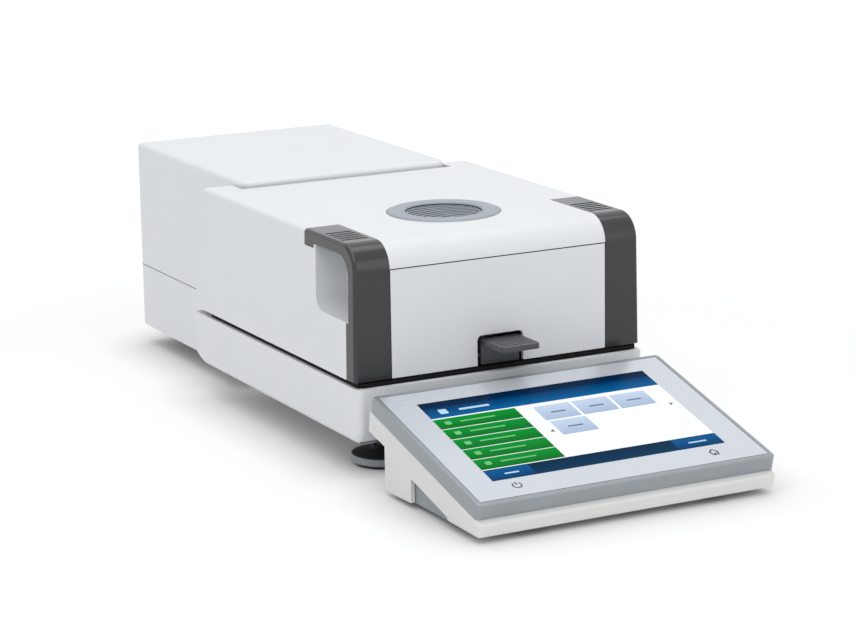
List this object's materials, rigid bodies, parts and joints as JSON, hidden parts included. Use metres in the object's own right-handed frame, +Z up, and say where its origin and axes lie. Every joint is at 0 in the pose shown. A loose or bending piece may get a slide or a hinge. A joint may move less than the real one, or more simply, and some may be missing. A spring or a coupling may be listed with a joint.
{
  "type": "moisture analyzer",
  "caption": "Halogen moisture analyzer with a motor-driven hinged lid, hanging sample pan, levelling feet and a tilting touch terminal in front.",
  "frame": {"origin": "on the surface the analyzer stands on, under the middle of its overall outline", "axes": "+Z up, the terminal faces -Y, +X to the right of a person in front of it"},
  "size_m": [0.1944, 0.5366, 0.1426],
  "materials": {
    "white_plastic": "fine-textured satin",
    "dark_grey_plastic": "fine-textured matt",
    "black_plastic": "matt",
    "mid_grey_plastic": "satin",
    "silver_plastic": "metallic satin paint",
    "display_glass": "silver-backed panel",
    "heater_glass": "clear",
    "polished_steel": "polished",
    "sheet_steel": "zinc-plated",
    "aluminium": "bright",
    "ceramic": "unglazed",
    "circuit_board": "lacquered",
    "rubber": "matt"
  },
  "bodies": {
    "base": {"base_shell": "white_plastic", "rear_housing": "white_plastic", "rear_panel": "black_plastic", "fan_grille": "black_plastic", "mains_inlet": "black_plastic", "data_sockets": "polished_steel", "fan_frame": "black_plastic", "power_supply": "sheet_steel", "main_board": "circuit_board", "lid_motor": "sheet_steel", "hinge_bush_right": "black_plastic", "hinge_bush_left": "black_plastic", "hinge_brackets": "sheet_steel", "front_bottom_plate": "sheet_steel", "rear_bottom_plate": "sheet_steel", "chamber_deck": "black_plastic", "draft_shield": "polished_steel", "pan_handler": "dark_grey_plastic", "weighing_cell": "aluminium", "rear_feet": "rubber", "terminal_stand": "mid_grey_plastic", "tilt_rod": "polished_steel", "terminal_feet": "rubber", "housing_screws": "polished_steel"},
    "lid": {"lid_shell": "white_plastic", "lid_trim_right": "dark_grey_plastic", "lid_trim_left": "dark_grey_plastic", "lid_front_panel": "white_plastic", "panel_bracket": "sheet_steel", "vent_ring": "mid_grey_plastic", "vent_grille": "mid_grey_plastic", "heater_frame": "sheet_steel", "lamp_reflector": "polished_steel", "halogen_ring_lamp": "heater_glass", "lamp_holders": "ceramic", "protective_glass": "heater_glass", "glass_clips": "polished_steel", "temperature_sensor": "polished_steel", "hinge_pin_right": "polished_steel", "hinge_pin_left": "polished_steel"},
    "pan_carrier": {"pan_support": "aluminium", "sample_pan": "aluminium"},
    "terminal_head": {"terminal_frame": "silver_plastic", "terminal_glass": "display_glass", "display_module": "circuit_board", "terminal_board": "circuit_board", "terminal_tray": "white_plastic"},
    "foot_left": {"foot_pad_left": "rubber"},
    "foot_left_screw": {"foot_wheel_left": "black_plastic"},
    "foot_right": {"foot_pad_right": "rubber"},
    "foot_right_screw": {"foot_wheel_right": "black_plastic"},
    "fan": {"fan_rotor": "black_plastic"}
  },
  "joints": [
    {"name": "lid_hinge", "type": "hinge", "parent": "base", "child": "lid", "pos_m": [0, 0.0975, 0.1325], "axis": [-1, 0, 0], "range_deg": [0, 60]},
    {"name": "terminal_tilt", "type": "hinge", "parent": "base", "child": "terminal_head", "pos_m": [0, -0.259, 0.0094], "axis": [1, 0, 0], "range_deg": [0, 12]},
    {"name": "pan_travel", "type": "slide", "parent": "base", "child": "pan_carrier", "axis": [0, 0, 1], "range_m": [-0.0005, 0.0002], "stiffness_N_per_m": 3000},
    {"name": "fan_spin", "type": "hinge", "parent": "base", "child": "fan", "pos_m": [0.026, 0.258, 0.097], "axis": [0, 1, 0], "continuous": true},
    {"name": "foot_left_level", "type": "slide", "parent": "base", "child": "foot_left", "axis": [0, 0, 1], "range_m": [-0.003, 0.003]},
    {"name": "foot_left_turn", "type": "hinge", "parent": "foot_left", "child": "foot_left_screw", "pos_m": [-0.0668, -0.0933, 0.006], "axis": [0, 0, 1], "range_deg": [-860, 860]},
    {"name": "foot_right_level", "type": "slide", "parent": "base", "child": "foot_right", "axis": [0, 0, 1], "range_m": [-0.003, 0.003]},
    {"name": "foot_right_turn", "type": "hinge", "parent": "foot_right", "child": "foot_right_screw", "pos_m": [0.0668, -0.0933, 0.006], "axis": [0, 0, 1], "range_deg": [-860, 860]}
  ],
  "couplings": [
    {"joint": "foot_left_level", "follows": "foot_left_turn", "m_per_rad": 0.00019894},
    {"joint": "foot_right_level", "follows": "foot_right_turn", "m_per_rad": 0.00019894}
  ]
}
